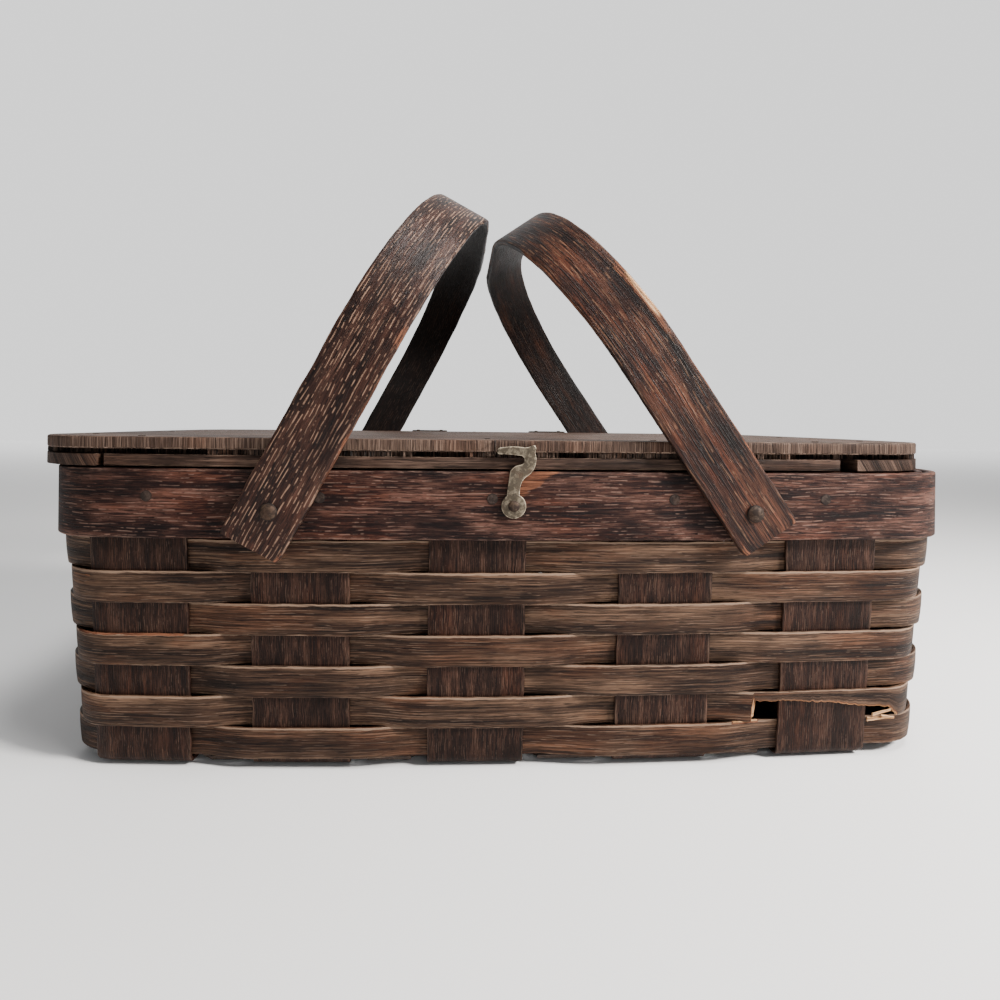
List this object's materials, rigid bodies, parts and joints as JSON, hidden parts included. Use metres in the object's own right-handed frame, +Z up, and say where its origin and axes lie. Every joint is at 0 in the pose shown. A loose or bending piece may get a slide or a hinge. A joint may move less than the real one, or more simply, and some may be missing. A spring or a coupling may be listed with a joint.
{
  "type": "splint picnic basket",
  "caption": "Rectangular woven splint picnic basket with a bentwood rim band, a hinged built-up wooden lid, swinging bentwood carrying bows on rivets and a front hook latch.",
  "frame": {"origin": "On the surface the basket stands on, below the middle of its base.", "axes": "+X along the basket to the right as seen from the hook side, -Y the front with the hook, +Z up."},
  "size_m": [0.4745, 0.2928, 0.3059],
  "materials": {
    "weaver_splint": "weathered oak splint",
    "upright_splint": "stained oak splint",
    "rim_oak": "dark stained oak, worn",
    "bow_oak": "dark stained oak, worn",
    "lid_board_wood": "grey-brown weathered wood",
    "lid_frame_wood": "grey-brown weathered wood",
    "rivet_metal": "dull, aged",
    "hinge_iron": "dull, aged",
    "hook_iron": "dull plate with rubbed edges"
  },
  "bodies": {
    "basket": {"back_left_rivet": "rivet_metal", "back_right_rivet": "rivet_metal", "cross_filler_1": "upright_splint", "cross_filler_2": "upright_splint", "cross_filler_3": "upright_splint", "cross_filler_4": "upright_splint", "cross_splint_1": "upright_splint", "cross_splint_2": "upright_splint", "cross_splint_3": "upright_splint", "cross_splint_4": "upright_splint", "cross_splint_5": "upright_splint", "front_left_rivet": "rivet_metal", "front_right_rivet": "rivet_metal", "hinge_band_nails": "rivet_metal", "hook_pin": "rivet_metal", "inner_rim_band": "rim_oak", "left_hinge_lower_leaf": "hinge_iron", "left_hinge_pin": "hinge_iron", "long_filler_1": "upright_splint", "long_filler_2": "upright_splint", "long_filler_3": "upright_splint", "long_filler_4": "upright_splint", "long_splint_1": "upright_splint", "long_splint_2": "upright_splint", "long_splint_3": "upright_splint", "outer_rim_band": "rim_oak", "right_hinge_lower_leaf": "hinge_iron", "right_hinge_pin": "hinge_iron", "rim_nails": "rivet_metal", "weaver_row_1": "weaver_splint", "weaver_row_2": "weaver_splint", "weaver_row_3": "weaver_splint", "weaver_row_4": "weaver_splint", "weaver_row_5": "weaver_splint", "weaver_row_6": "weaver_splint", "weaver_row_7": "weaver_splint"},
    "lid": {"eye_staple": "hook_iron", "hinge_lid_nails": "rivet_metal", "left_hinge_upper_leaf": "hinge_iron", "lid_back_strip": "lid_frame_wood", "lid_board": "lid_board_wood", "lid_brads": "rivet_metal", "lid_core": "lid_board_wood", "lid_front_strip": "lid_frame_wood", "lid_left_cleat": "lid_frame_wood", "lid_right_cleat": "lid_frame_wood", "right_hinge_upper_leaf": "hinge_iron"},
    "left_handle": {"left_bow": "bow_oak"},
    "right_handle": {"right_bow": "bow_oak"},
    "hook": {"latch_hook": "hook_iron"}
  },
  "joints": [
    {"name": "lid_open", "type": "hinge", "parent": "basket", "child": "lid", "pos_m": [0, 0.14216, 0.16], "axis": [-1, 0, 0], "range_deg": [0, 12]},
    {"name": "left_handle_swing", "type": "hinge", "parent": "basket", "child": "left_handle", "pos_m": [-0.114, 0, 0.1275], "axis": [0, -1, 0], "range_deg": [0, 154]},
    {"name": "right_handle_swing", "type": "hinge", "parent": "basket", "child": "right_handle", "pos_m": [0.114, 0, 0.1275], "axis": [0, 1, 0], "range_deg": [0, 160]},
    {"name": "hook_swing", "type": "hinge", "parent": "basket", "child": "hook", "pos_m": [-0.001, -0.1413, 0.1303], "axis": [0, 1, 0], "range_deg": [0, 180]}
  ]
}
